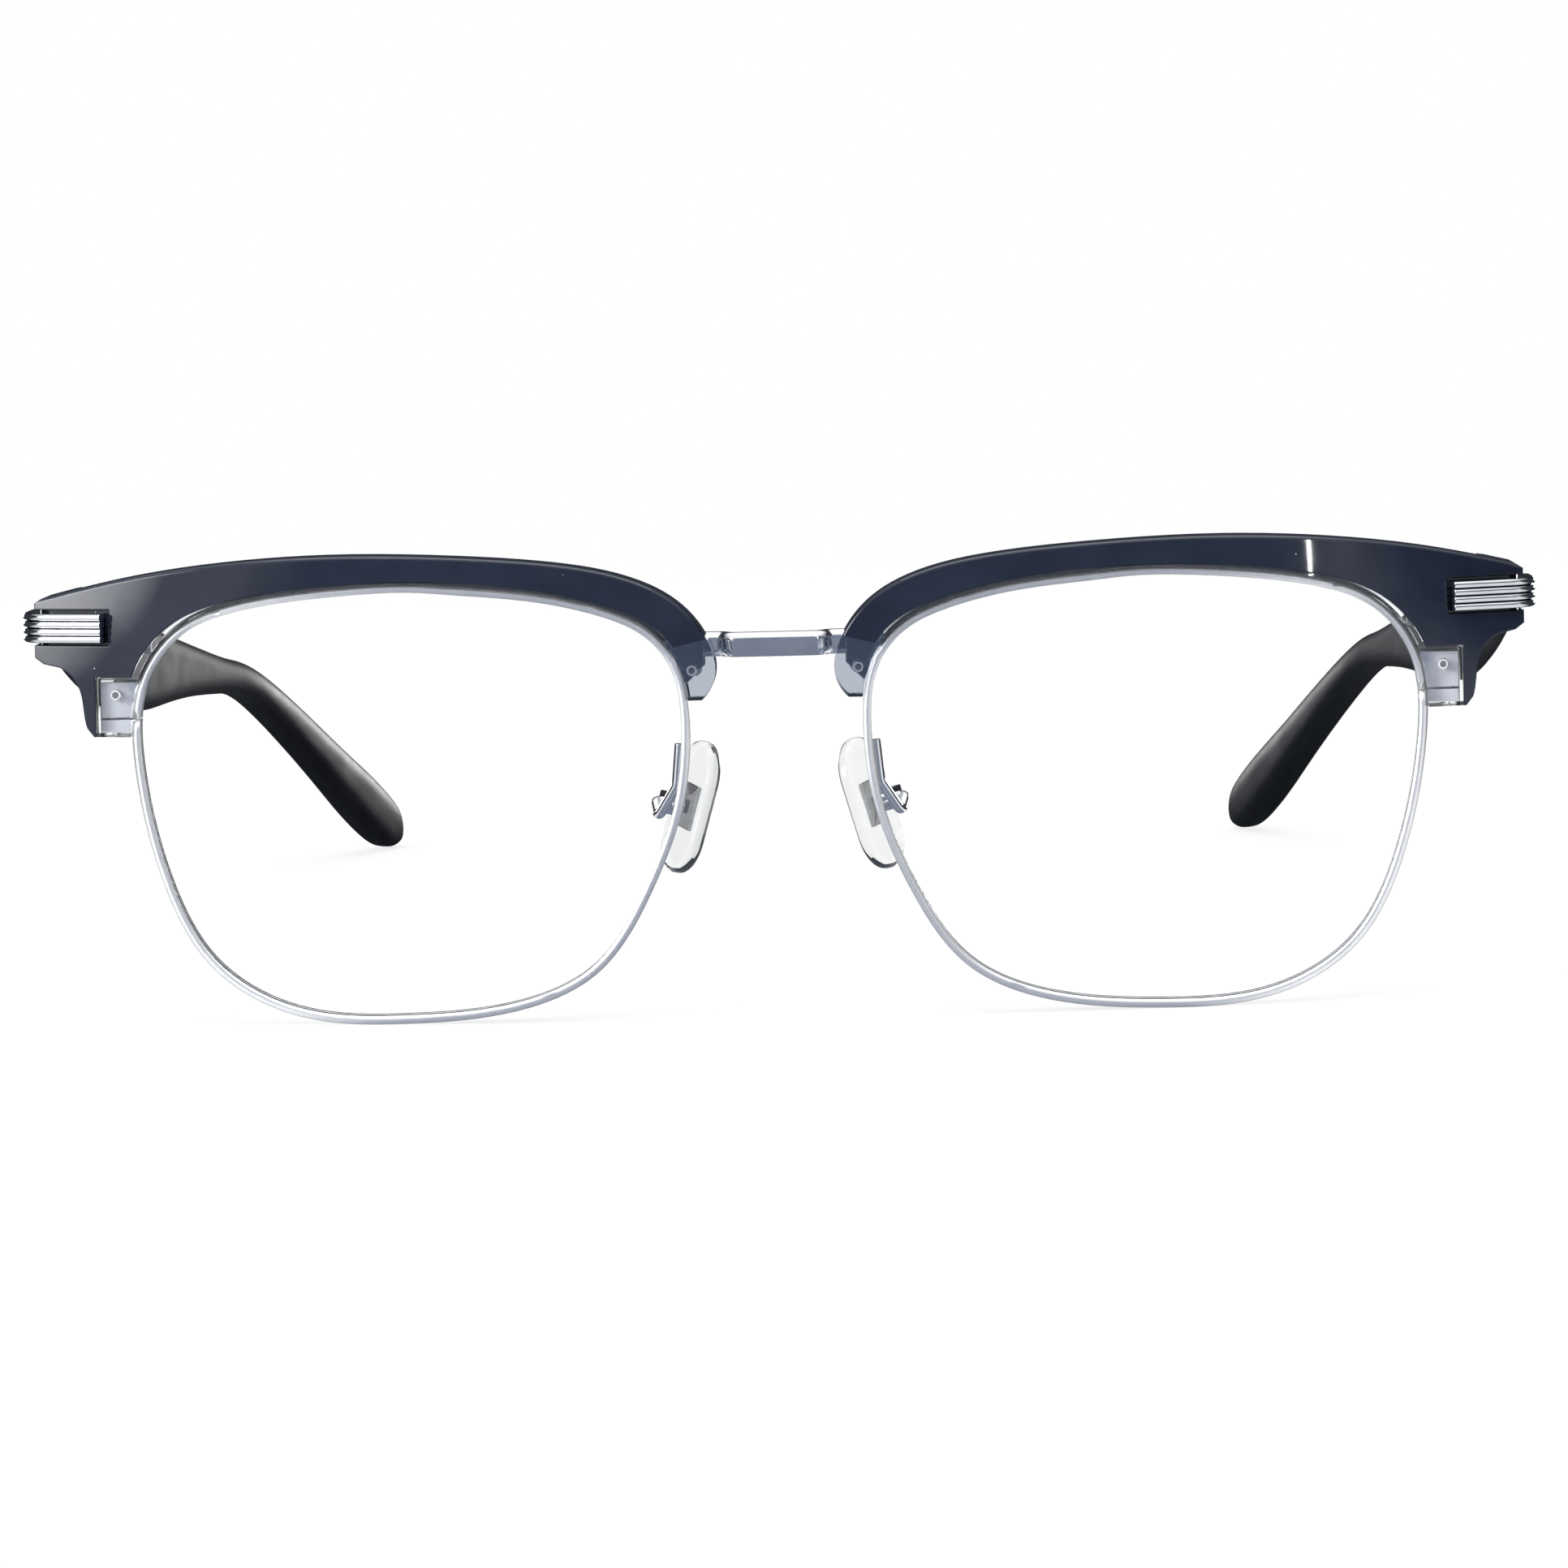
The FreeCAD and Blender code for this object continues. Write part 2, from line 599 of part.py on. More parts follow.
for share in POST_SHARES:
    post_ring = Part.Circle(Vector(front_leg * share, 0, 0), Vector(0, 0, 1), size("post_radius"))
    post_sketch.addGeometry(post_ring)
    post_rule = Sketcher.Constraint("Radius", post_sketch.GeometryCount - 1, size("post_radius"))
    post_sketch.addConstraint(post_rule)
    post_sketch.setExpression("Constraints[%d]" % (post_sketch.ConstraintCount - 1), "Sizes.post_radius")
posts = plaque.newObject("PartDesign::Pad", "Posts")
posts.Profile = post_sketch
posts.Reversed = True
bound(posts, Length="Sizes.post_length")
plaque_place = Placement(spot(size("plaque_start"), start_depth, seat_level),
                         Rotation(Vector(0, 0, 1), math.degrees(plaque_slope)))
plaque.Placement = plaque_place
piece("plaque", plaque)

# Recess for the plaque: everything outside the line of its back, with a border all round
recess_reach = 2 * (size("plaque_base") + size("plaque_bend"))
recess_start = Vector(-size("plaque_border"), 0, 0)
recess_end = leg_end + Vector(math.cos(plaque_turn), math.sin(plaque_turn), 0) * size("plaque_border")
recess_out = recess_end + Vector(math.sin(plaque_turn), -math.cos(plaque_turn), 0) * recess_reach
half_turn = plaque_turn / 2
bend_middle = bend_centre + Vector(math.sin(half_turn), -math.cos(half_turn), 0) * size("plaque_bend")
recess_far = Vector(recess_out.x, -recess_reach, 0)
recess_near = Vector(recess_start.x, -recess_reach, 0)
recess_wire = Part.Wire([
    Part.makeLine(recess_start, Vector(front_leg, 0, 0)),
    Part.Arc(Vector(front_leg, 0, 0), bend_middle, bend_end).toShape(),
    Part.makeLine(bend_end, recess_end),
    Part.makeLine(recess_end, recess_out),
    Part.makeLine(recess_out, recess_far),
    Part.makeLine(recess_far, recess_near),
    Part.makeLine(recess_near, recess_start),
])
recess_face = shaped("RecessFace", Part.Face(recess_wire))
recess_face.Placement = plaque_place
recess = add("Part::Extrusion", "Recess")
recess.Base = recess_face
recess.DirMode = "Custom"
recess.Dir = Vector(0, 0, 1)
recess.Solid = True
bound(recess, LengthFwd="Sizes.plaque_height / 2 + Sizes.plaque_border",
      LengthRev="Sizes.plaque_height / 2 + Sizes.plaque_border")
post_way = plaque_place.Rotation.multVec(Vector(0, 1, 0))
post_holes = []
for share in POST_SHARES:
    hole_start = plaque_place.multVec(Vector(front_leg * share, -PAST, 0))
    post_holes.append(rod("PostHole", hole_start, post_way, "Sizes.post_radius + Sizes.fit_gap",
                          "Sizes.post_length + Sizes.fit_gap + %s" % PAST))

# Seats behind the brow: front hinge leaf, room for the knuckles, nose tab, rim lock
leaf_half = size("leaf_height") / 2
post_end = plaque_place.multVec(Vector(front_leg * POST_SHARES[-1], size("post_length"), 0)) - ORIGIN
seat_depth = post_end.y + size("post_radius") * math.sin(plaque_slope) + size("front_leaf_seat")
leaf_seat = block("LeafSeat",
                  spot(size("front_leaf_start") - size("fit_gap"), seat_depth,
                       size("temple_level") - leaf_half - size("fit_gap")),
                  spot(end_side - size("temple_thickness"), size("joint_depth") + PAST,
                       size("temple_level") + leaf_half + size("fit_gap")))
knuckle_room = rod("KnuckleRoom", spot(pin_side, size("joint_depth"), 0), Vector(0, 0, 1),
                   "Sizes.knuckle_radius + Sizes.knuckle_room", "Sizes.temple_level * 2")
gap = size("fit_gap")


def tab_plate(label, grow, length):
    """Plate with one slanted corner, grown all round by a clearance."""
    inner = size("tab_inner") - grow
    outer = size("tab_outer") + grow
    low = size("tab_low") - grow
    high = size("tab_high") + grow
    slant = size("tab_slant")
    corners = [(inner, high), (outer, high), (outer, low), (inner + slant, low), (inner, low + slant),
               (inner, high)]
    near = size("tab_front") - grow
    wire = Part.makePolygon([spot(side, near, height) for side, height in corners])
    return column(label, shaped(label + "Face", Part.Face(wire)), length)


tab_seat = tab_plate("TabSeat", gap, "Sizes.joint_depth")
lock_seat = block("LockSeat", spot(size("lock_inner"), size("lock_front") - gap, size("lock_low") - gap),
                  spot(size("lock_outer") + gap, size("joint_depth"), size("lock_high") + gap))
nose_hole = rod("NoseHole", spot(NOSE_SCREW[0], NOSE_SCREW_TIP - gap, NOSE_SCREW[1]), Vector(0, 1, 0),
                "Sizes.brow_screw_shank + Sizes.fit_gap", "Sizes.joint_depth")
outer_hole = rod("OuterHole", spot(OUTER_SCREW[0], OUTER_SCREW_TIP - gap, OUTER_SCREW[1]), Vector(0, 1, 0),
                 "Sizes.brow_screw_shank + Sizes.fit_gap", "Sizes.joint_depth")
driver_hole = rod("DriverHole", spot(LOCK_SCREW_SIDE, LOCK_SCREW_DEPTH, CRYSTAL_LOW), Vector(0, 0, 1),
                  "Sizes.lock_screw_head + Sizes.driver_room", "Sizes.lock_high - %s" % CRYSTAL_LOW)

black_column = cut("BlackColumn", whole_column, crystal_column)
black_front = common("BlackFront", black_column, dome("BrowFront", "Sizes.base_radius + Sizes.brow_front"))
black_blank = cut("BlackBlank", black_front, back_tool)
brow_edges = [on_layer(BROW_PEAK, size("brow_front")), on_layer(BROW_PEAK, -size("brow_back"))]
black_round = rounded("BlackRound", black_blank, brow_edges, size("brow_round"))
brow_tools = fuse("BrowTools", recess, leaf_seat, knuckle_room, tab_seat, rim_room, *post_holes)
piece("brow", cut("Brow", black_round, brow_tools))

clear_column = common("ClearColumn", whole_column, crystal_column)
clear_dome = dome("CrystalFront", "Sizes.base_radius + Sizes.crystal_front")
clear_front = common("ClearFront", clear_column, clear_dome)
clear_blank = cut("ClearBlank", clear_front, back_dome)
crystal_tools = fuse("CrystalTools", rim_room, tab_seat, lock_seat, nose_hole, outer_hole, driver_hole)
piece("crystal", cut("Crystal", clear_blank, crystal_tools))

# Rim lock and nose tab: blocks fitted to the outside of the eyewire
lock_upper = block("LockUpperBlock",
                   spot(size("lock_inner"), size("lock_front"), split_high),
                   spot(size("lock_outer"), size("lock_back"), size("lock_high")))
lock_lower = block("LockLowerBlock", spot(size("lock_inner"), size("lock_front"), size("lock_low")),
                   spot(size("lock_outer"), size("lock_back"), split_low))
lock_hole = rod("LockHole", spot(LOCK_SCREW_SIDE, LOCK_SCREW_DEPTH, size("lock_low") - PAST), Vector(0, 0, 1),
                "Sizes.lock_screw_shank + Sizes.run_gap",
                "%s - Sizes.lock_low" % (LOCK_SCREW_TIP + gap + PAST))
head_room = rod("LockHeadRoom", spot(LOCK_SCREW_SIDE, LOCK_SCREW_DEPTH, size("lock_low")), Vector(0, 0, 1),
                "Sizes.lock_screw_head + Sizes.run_gap", "Sizes.lock_screw_head_height")
upper_tools = fuse("LockUpperTools", rim_column, lock_hole, outer_hole)
lower_tools = fuse("LockLowerTools", rim_column, lock_hole, head_room)
piece("rim_lock_upper", cut("LockUpper", lock_upper, upper_tools))
piece("rim_lock_lower", cut("LockLower", lock_lower, lower_tools))
lock_screw_names = ("lock_screw_shank", "lock_screw_head", "lock_screw_head_height")
lock_head_top = size("lock_low") + size("lock_screw_head_height")
lock_screw_seat = spot(LOCK_SCREW_SIDE, LOCK_SCREW_DEPTH, lock_head_top)
piece("rim_lock_screw", screw("LockScrew", lock_screw_seat, Vector(0, 0, 1), lock_screw_names,
                              LOCK_SCREW_TIP - lock_head_top))
tab_block = tab_plate("TabBlock", 0.0, "Sizes.tab_back - Sizes.tab_front")
piece("nose_tab", cut("NoseTab", tab_block, fuse("TabTools", rim_column, nose_hole)))
screw_names = ("brow_screw_shank", "brow_screw_head", "brow_screw_head_height")
nose_screw = screw("NoseScrew", spot(NOSE_SCREW[0], size("tab_back"), NOSE_SCREW[1]), Vector(0, -1, 0),
                   screw_names, size("tab_back") - NOSE_SCREW_TIP)
outer_screw = screw("OuterScrew", spot(OUTER_SCREW[0], size("lock_back"), OUTER_SCREW[1]), Vector(0, -1, 0),
                    screw_names, size("lock_back") - OUTER_SCREW_TIP)
screw_pair = add("Part::Compound", "BrowScrews")
screw_pair.Links = [nose_screw, outer_screw]
piece("brow_screws", screw_pair)

# Bridge bar: oval section carried along a path that steps back behind both nose blocks
bridge = add("PartDesign::Body", "bridge")
rear_line = size("tab_back") + size("bridge_depth") / 2
step = rear_line - size("bridge_front")
bar_half = size("bridge_straight")
step_end = bar_half + size("bridge_run")
bridge_points = [Vector(-size("bridge_span"), step, 0), Vector(-step_end, step, 0), Vector(-bar_half, 0, 0),
                 Vector(bar_half, 0, 0), Vector(step_end, step, 0), Vector(size("bridge_span"), step, 0)]
bridge_path = sketch_on(bridge, "BridgePath", "XY_Plane")
for edge in rounded_path(bridge_points, size("bridge_bend")).Edges:
    ends = [vertex.Point for vertex in edge.Vertexes]
    if isinstance(edge.Curve, Part.Line):
        bridge_path.addGeometry(Part.LineSegment(ends[0], ends[1]))
    else:
        middle = edge.valueAt((edge.FirstParameter + edge.LastParameter) / 2)
        bridge_path.addGeometry(Part.Arc(ends[0], middle, ends[1]))
bridge_section = sketch_on(bridge, "BridgeSection", "YZ_Plane")
bridge_section.AttachmentOffset = Placement(Vector(0, 0, -size("bridge_span")), Rotation())
half_depth = size("bridge_depth") / 2
flat_half = size("bridge_height") / 2 - half_depth
upper = Part.Circle(Vector(step, flat_half, 0), Vector(0, 0, 1), half_depth)
lower = Part.Circle(Vector(step, -flat_half, 0), Vector(0, 0, 1), half_depth)
bridge_section.addGeometry(Part.ArcOfCircle(upper, 0, math.pi))
bridge_section.addGeometry(Part.LineSegment(Vector(step - half_depth, flat_half, 0),
                                            Vector(step - half_depth, -flat_half, 0)))
bridge_section.addGeometry(Part.ArcOfCircle(lower, math.pi, 2 * math.pi))
bridge_section.addGeometry(Part.LineSegment(Vector(step + half_depth, -flat_half, 0),
                                            Vector(step + half_depth, flat_half, 0)))
bridge_pipe = bridge.newObject("PartDesign::AdditivePipe", "BridgePipe")
bridge_pipe.Profile = bridge_section
bridge_pipe.Spine = bridge_path
bridge.Placement = Placement(spot(0, size("bridge_front"), size("bridge_level")), Rotation())
PIECES.append(bridge)

# Hinge: front leaf behind the brow, temple leaf in the temple, one screw through all the knuckles

def knuckle(label, number):
    """One knuckle of the hinge, counted from below."""
    low = pin_low + number * size("knuckle_height") + size("knuckle_gap") / 2
    return rod(label, spot(pin_side, size("joint_depth"), low), Vector(0, 0, 1), "Sizes.knuckle_radius",
               "Sizes.knuckle_height - Sizes.knuckle_gap")


def knuckle_arm(label, number, near, far):
    """Bar at a knuckle's height between two corners in plan."""
    low = pin_low + number * size("knuckle_height") + size("knuckle_gap") / 2
    high = low + size("knuckle_height") - size("knuckle_gap")
    return block(label, spot(near[0], near[1], low), spot(far[0], far[1], high))


room = size("knuckle_radius") + size("knuckle_room")
web_outer = end_side - size("temple_thickness") - 2 * gap
web_inner = web_outer - size("front_leaf_web")
plate_back = seat_depth + size("leaf_thickness")
web_back = size("joint_depth") - room
leaf_low = size("temple_level") - leaf_half
leaf_high = size("temple_level") + leaf_half
front_plate = block("FrontPlate", spot(size("front_leaf_start"), seat_depth, leaf_low),
                    spot(web_outer, plate_back, leaf_high))
front_web = block("FrontWeb", spot(web_inner, plate_back, leaf_low), spot(web_outer, web_back, leaf_high))
front_set = [front_plate, front_web]
for number in range(0, KNUCKLES, 2):
    front_set.append(knuckle("FrontKnuckle%d" % number, number))
    front_set.append(knuckle_arm("FrontArm%d" % number, number, (web_inner, web_back - ROOT),
                                 (web_outer, size("joint_depth"))))
pin_hole = rod("PinHole", spot(pin_side, size("joint_depth"), 0), Vector(0, 0, 1),
               "Sizes.pin_radius + Sizes.run_gap", "Sizes.temple_level * 2")
piece("front_hinge_leaf", cut("FrontLeaf", fuse("FrontLeafBlank", *front_set), pin_hole))

piece("hinge_screw", screw("HingeScrew", spot(pin_side, size("joint_depth"), pin_high), Vector(0, 0, -1),
                           ("pin_radius", "pin_head_radius", "pin_head_height"), pin_high - pin_low))

# The temple leaf is turned with the shaft about the pin; its plate also slopes with the shaft
splay = Rotation(Vector(0, 0, 1), size("shaft_splay"))
shaft_turn = splay.multiply(Rotation(Vector(1, 0, 0), -size("shaft_drop")))
pin_spot = spot(pin_side, size("joint_depth"), size("temple_level"))


def turned(label, low, high, turn):
    """Box turned about the pin: across, along the shaft and up from the pin."""
    item = block(label, low, high)
    item.Placement = Placement(pin_spot + turn.multVec(low), turn)
    return item


plate_inner = size("pin_inset")
plate_outer = size("pin_inset") + size("leaf_thickness")
plate_start = room + 2 * gap
plate_end = Vector(plate_outer, plate_start + size("temple_leaf_length"), leaf_half)
temple_plate = turned("TemplePlate", Vector(plate_inner, plate_start, -leaf_half), plate_end, shaft_turn)
temple_set = [temple_plate]
for number in range(1, KNUCKLES, 2):
    low = (number - KNUCKLES / 2) * size("knuckle_height") + size("knuckle_gap") / 2
    high = low + size("knuckle_height") - size("knuckle_gap")
    temple_set.append(knuckle("TempleKnuckle%d" % number, number))
    temple_set.append(turned("TempleArm%d" % number, Vector(0, size("joint_gap") * 2, low),
                             Vector(plate_outer, plate_start + ROOT, high), splay))
leaf_blank = cut("TempleLeafBlank", fuse("TempleLeafSet", *temple_set), pin_hole)
rivet_way = splay.multVec(Vector(1, 0, 0))
rivet_rise = leaf_half / 2
rivet_holes = []
rivets = []
for share in RIVET_SHARES:
    rivet_along = plate_start + size("temple_leaf_length") * share
    rivet_spot = pin_spot + shaft_turn.multVec(Vector(plate_inner, rivet_along, rivet_rise))
    rivet_holes.append(rod("RivetHole", rivet_spot - rivet_way * PAST, rivet_way,
                           "Sizes.rivet_radius + Sizes.fit_gap / 2",
                           "Sizes.rivet_length + Sizes.fit_gap + %s" % PAST))
    rivets.append(rod("Rivet", rivet_spot, rivet_way, "Sizes.rivet_radius", "Sizes.rivet_length"))
rivet_tool = fuse("RivetTool", *rivet_holes)
piece("temple_hinge_leaf", cut("TempleLeaf", leaf_blank, rivet_tool))
rivet_pair = add("Part::Compound", "Rivets")
rivet_pair.Links = rivets
piece("temple_rivets", rivet_pair)

# Temple: rounded sections along its middle line, rounded off at the tip

def temple_section(label, along, up, down, thickness):
    """Rounded rectangle square to the temple's middle line."""
    point, way = temple_line(along)
    across = Vector(way.y, -way.x, 0).normalize()
    rise = across.cross(way)
    radius = min(size("temple_round"), ROUND_SHARE * thickness, ROUND_SHARE * (up + down))
    half = thickness / 2

    def at(side, height):
        return ORIGIN + point + across * side + rise * height

    diagonal = radius * (1 - math.cos(math.pi / 4))
    edges = []
    corners = ((half, up), (-half, up), (-half, -down), (half, -down))
    for number, (side, height) in enumerate(corners):
        sign_side = math.copysign(1, side)
        sign_height = math.copysign(1, height)
        on_side = at(side, height - sign_height * radius)
        on_end = at(side - sign_side * radius, height)
        bulge = at(side - sign_side * diagonal, height - sign_height * diagonal)
        first, last = (on_side, on_end) if number % 2 == 0 else (on_end, on_side)
        if edges:
            edges.append(Part.makeLine(edges[-1].Vertexes[-1].Point, first))
        edges.append(Part.Arc(first, bulge, last).toShape())
    edges.append(Part.makeLine(edges[-1].Vertexes[-1].Point, edges[0].Vertexes[0].Point))
    return shaped(label, Part.Wire(edges))


tip_start = size("temple_length") - size("tip_round")
sections = []
for number, (along, up, down) in enumerate(TEMPLE_HEIGHTS):
    sections.append(temple_section("TempleSection%d" % number, min(along, tip_start), up, down,
                                   size("temple_thickness")))
tip_up, tip_down = TEMPLE_HEIGHTS[-1][1:]
for number, share in enumerate(TIP_STEPS + (1.0,)):
    shrink = math.sqrt(1 - (TIP_END * share) ** 2)
    slim = size("temple_thickness") * (TIP_SLIM + (1 - TIP_SLIM) * shrink)
    sections.append(temple_section("TipSection%d" % number, tip_start + share * size("tip_round"),
                                   tip_up * shrink, tip_down * shrink, slim))
temple_blank = add("Part::Loft", "TempleBlank")
temple_blank.Sections = sections
temple_blank.Solid = True
temple_blank.Ruled = False

# The core wire follows the same middle line
core_near = ORIGIN + temple_line(size("core_start"))[0]
core_far = ORIGIN + temple_line(size("core_end"))[0]
core_bend = [ORIGIN + bend_point(angle) for angle in (0, bend_angle / 2, bend_angle)]
core_wire = Part.Wire([Part.makeLine(core_near, core_bend[0]), Part.Arc(*core_bend).toShape(),
                       Part.makeLine(core_bend[2], core_far)])
core = sweep("Core", shaped("CorePath", core_wire), "Sizes.core_radius")
piece("temple_core", core)

joint_tool = block("JointTool",
                   spot(pin_side - size("temple_thickness"), size("joint_depth") - size("front_reach"), 0),
                   spot(end_side + size("temple_thickness"), size("joint_depth") + size("joint_gap"),
                        2 * size("temple_level")))
leaf_room = turned("TempleLeafRoom", Vector(-2 * PAST, 0, -leaf_half), plate_end, shaft_turn)
temple_tools = fuse("TempleTools", joint_tool, knuckle_room, leaf_room, core, rivet_tool)
piece("temple", cut("Temple", temple_blank, temple_tools))

# Nose pad, its insert, box, screw and arm, in the pad's own axes: long way, front to back, towards the nose
tilt = math.radians(size("pad_tilt"))
turn = math.radians(size("pad_splay"))
pad_long = Vector(-math.sin(tilt), 0, math.cos(tilt))
pad_wide = Vector(math.cos(tilt), 0, math.sin(tilt)) * math.sin(turn) + Vector(0, math.cos(turn), 0)
pad_face = pad_long.cross(pad_wide)
pad_spot = spot(size("pad_side"), size("pad_depth"), size("pad_level"))
pad_place = Placement(Matrix(pad_long.x, pad_wide.x, pad_face.x, pad_spot.x,
                             pad_long.y, pad_wide.y, pad_face.y, pad_spot.y,
                             pad_long.z, pad_wide.z, pad_face.z, pad_spot.z,
                             0, 0, 0, 1))


def pad_block(label, low, high):
    item = block(label, low, high)
    item.Placement = pad_place.multiply(Placement(low, Rotation()))
    return item


def pad_rod(label, start, way, radius, length):
    return rod(label, pad_place.multVec(start), pad_place.Rotation.multVec(way), radius, length)


pad_body = add("PartDesign::Body", "PadBody")
pad_sketch = sketch_on(pad_body, "PadOutline", "XY_Plane")
end_radius = size("pad_width") / 2
half_run = size("pad_length") / 2 - end_radius
pad_sketch.addGeometry(Part.ArcOfCircle(Part.Circle(Vector(half_run, 0, 0), Vector(0, 0, 1), end_radius),
                                        -math.pi / 2, math.pi / 2))
pad_sketch.addGeometry(Part.LineSegment(Vector(half_run, end_radius, 0), Vector(-half_run, end_radius, 0)))
pad_sketch.addGeometry(Part.ArcOfCircle(Part.Circle(Vector(-half_run, 0, 0), Vector(0, 0, 1), end_radius),
                                        math.pi / 2, 3 * math.pi / 2))
pad_sketch.addGeometry(Part.LineSegment(Vector(-half_run, -end_radius, 0), Vector(half_run, -end_radius, 0)))
pad_solid = pad_body.newObject("PartDesign::Pad", "PadSolid")
pad_solid.Profile = pad_sketch
bound(pad_solid, Length="Sizes.pad_thickness")
doc.recompute()
pad_fillet = pad_body.newObject("PartDesign::Fillet", "PadFillet")
pad_edges = ["Edge%d" % (number + 1) for number, edge in enumerate(pad_solid.Shape.Edges)
             if abs(edge.Vertexes[0].Z - edge.Vertexes[-1].Z) < LEVEL]
pad_fillet.Base = (pad_solid, pad_edges)
bound(pad_fillet, Radius="Sizes.pad_round")
pad_body.Placement = pad_place

eye_half = size("pad_eye_thickness") / 2
eye_width = size("pad_eye_width") / 2
pivot = -size("pad_pivot")
plate_low = size("pad_thickness") / 2 - size("pad_plate_thickness") / 2
insert_plate = pad_block("InsertPlate",
                         Vector(-size("pad_plate_length") / 2, -size("pad_plate_width") / 2, plate_low),
                         Vector(size("pad_plate_length") / 2, size("pad_plate_width") / 2,
                                plate_low + size("pad_plate_thickness")))
insert_neck = pad_block("InsertNeck", Vector(-eye_width, -eye_half, pivot),
                        Vector(eye_width, eye_half, plate_low + size("pad_plate_thickness") / 2))
insert_eye = pad_rod("InsertEye", Vector(0, -eye_half, pivot), Vector(0, 1, 0), "Sizes.pad_eye_width / 2",
                     "Sizes.pad_eye_thickness")
insert_blank = fuse("InsertBlank", insert_plate, insert_neck, insert_eye)
box_half = size("pad_box_size") / 2
eye_hole = pad_rod("EyeHole", Vector(0, -box_half - PAST, pivot), Vector(0, 1, 0),
                   "Sizes.pad_screw_radius + Sizes.run_gap", "Sizes.pad_box_size + %s" % (2 * PAST))
piece("pad_insert", cut("PadInsert", insert_blank, eye_hole))
piece("nose_pad", cut("NosePad", pad_body, insert_blank))

box_near = -size("pad_box_gap")
box_far = box_near - size("pad_box_size")
slot_half = eye_half + size("pad_eye_gap")
slot_far = pivot - eye_width - size("pad_eye_gap") * 2
box_block = pad_block("PadBoxBlock", Vector(-box_half, -box_half, box_far),
                      Vector(box_half, box_half, box_near))
box_slot = pad_block("PadBoxSlot", Vector(-box_half - PAST, -slot_half, slot_far),
                     Vector(box_half + PAST, slot_half, box_near + PAST))
piece("pad_box", cut("PadBox", box_block, fuse("PadBoxTools", box_slot, eye_hole)))
pad_screw_start = pad_place.multVec(Vector(0, -box_half, pivot))
pad_screw_names = ("pad_screw_radius", "pad_screw_head", "pad_screw_head_height")
piece("pad_screw", screw("PadScrew", pad_screw_start, pad_wide, pad_screw_names, size("pad_box_size")))

arm_end = pad_place.multVec(Vector(0, 0, box_far))
arm_lead = pad_place.multVec(Vector(0, 0, box_far - ARM_LEAD))
arm_corners = [spot(*ARM_START), spot(*ARM_KNEE), spot(*ARM_LOOP), arm_lead, arm_end]
arm_path = rounded_path(arm_corners, size("arm_bend"))
piece("pad_arm", sweep("PadArm", shaped("ArmPath", arm_path), "Sizes.arm_radius"))

# Check every object and write the pieces

doc.recompute()
faults = []
for item in doc.Objects:
    if "Invalid" in item.State or "Error" in item.State:
        faults.append("%s does not build: %s" % (item.Label, item.State))
for item in PIECES:
    if item.Shape.isNull() or not item.Shape.isValid():
        faults.append("%s has no valid shape" % item.Label)
if faults:
    raise RuntimeError("; ".join(faults))

os.makedirs("parts", exist_ok=True)
for item in PIECES:
    item.Shape.exportStep(os.path.join("parts", item.Label + ".step"))
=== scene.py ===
import json
import math

import bpy
from mathutils import Matrix, Vector


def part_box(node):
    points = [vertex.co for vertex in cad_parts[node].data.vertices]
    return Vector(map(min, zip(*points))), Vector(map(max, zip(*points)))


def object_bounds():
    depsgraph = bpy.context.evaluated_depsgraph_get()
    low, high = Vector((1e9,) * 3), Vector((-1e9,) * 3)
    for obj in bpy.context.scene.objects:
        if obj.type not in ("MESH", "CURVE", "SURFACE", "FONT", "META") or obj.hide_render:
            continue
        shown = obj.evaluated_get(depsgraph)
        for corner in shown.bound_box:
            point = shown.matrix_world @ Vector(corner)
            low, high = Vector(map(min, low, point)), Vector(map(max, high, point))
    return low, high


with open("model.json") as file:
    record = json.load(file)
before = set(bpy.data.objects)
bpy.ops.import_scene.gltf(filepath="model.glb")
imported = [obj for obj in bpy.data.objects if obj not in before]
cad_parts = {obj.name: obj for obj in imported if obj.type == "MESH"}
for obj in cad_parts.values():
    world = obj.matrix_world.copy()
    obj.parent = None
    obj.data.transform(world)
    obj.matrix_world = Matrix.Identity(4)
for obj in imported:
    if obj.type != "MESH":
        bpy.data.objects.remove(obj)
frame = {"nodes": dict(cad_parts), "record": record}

# Browline glasses seen from the front on a pale table, in metres

cad_low, cad_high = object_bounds()
nodes = frame["nodes"]
scene = bpy.context.scene

MM = 0.001
SIDES = ("left", "right")


# Node helpers

def new_material(name):
    """Node material with a Principled shader; returns material, tree and shader."""
    material = bpy.data.materials.new(name)
    material.use_nodes = True
    return material, *opened(material)


def opened(material):
    """Tree and Principled shader of a material."""
    tree = material.node_tree
    return tree, tree.nodes["Principled BSDF"]


def object_coordinates(tree):
    return tree.nodes.new("ShaderNodeTexCoord").outputs["Object"]


def axes(tree, vector):
    """X, Y and Z of a linked vector."""
    node = tree.nodes.new("ShaderNodeSeparateXYZ")
    tree.links.new(vector, node.inputs["Vector"])
    return node.outputs


def figure(tree, operation, first, second=0.0, clamp=False):
    """Math node on a linked number and a second one, which is linked or plain."""
    node = tree.nodes.new("ShaderNodeMath")
    node.operation = operation
    node.use_clamp = clamp
    tree.links.new(first, node.inputs[0])
    if isinstance(second, float):
        node.inputs[1].default_value = second
    else:
        tree.links.new(second, node.inputs[1])
    return node.outputs["Value"]


def combine(tree, operation, first, second):
    """Math on two linked numbers, held between 0 and 1."""
    return figure(tree, operation, first, second, clamp=True)


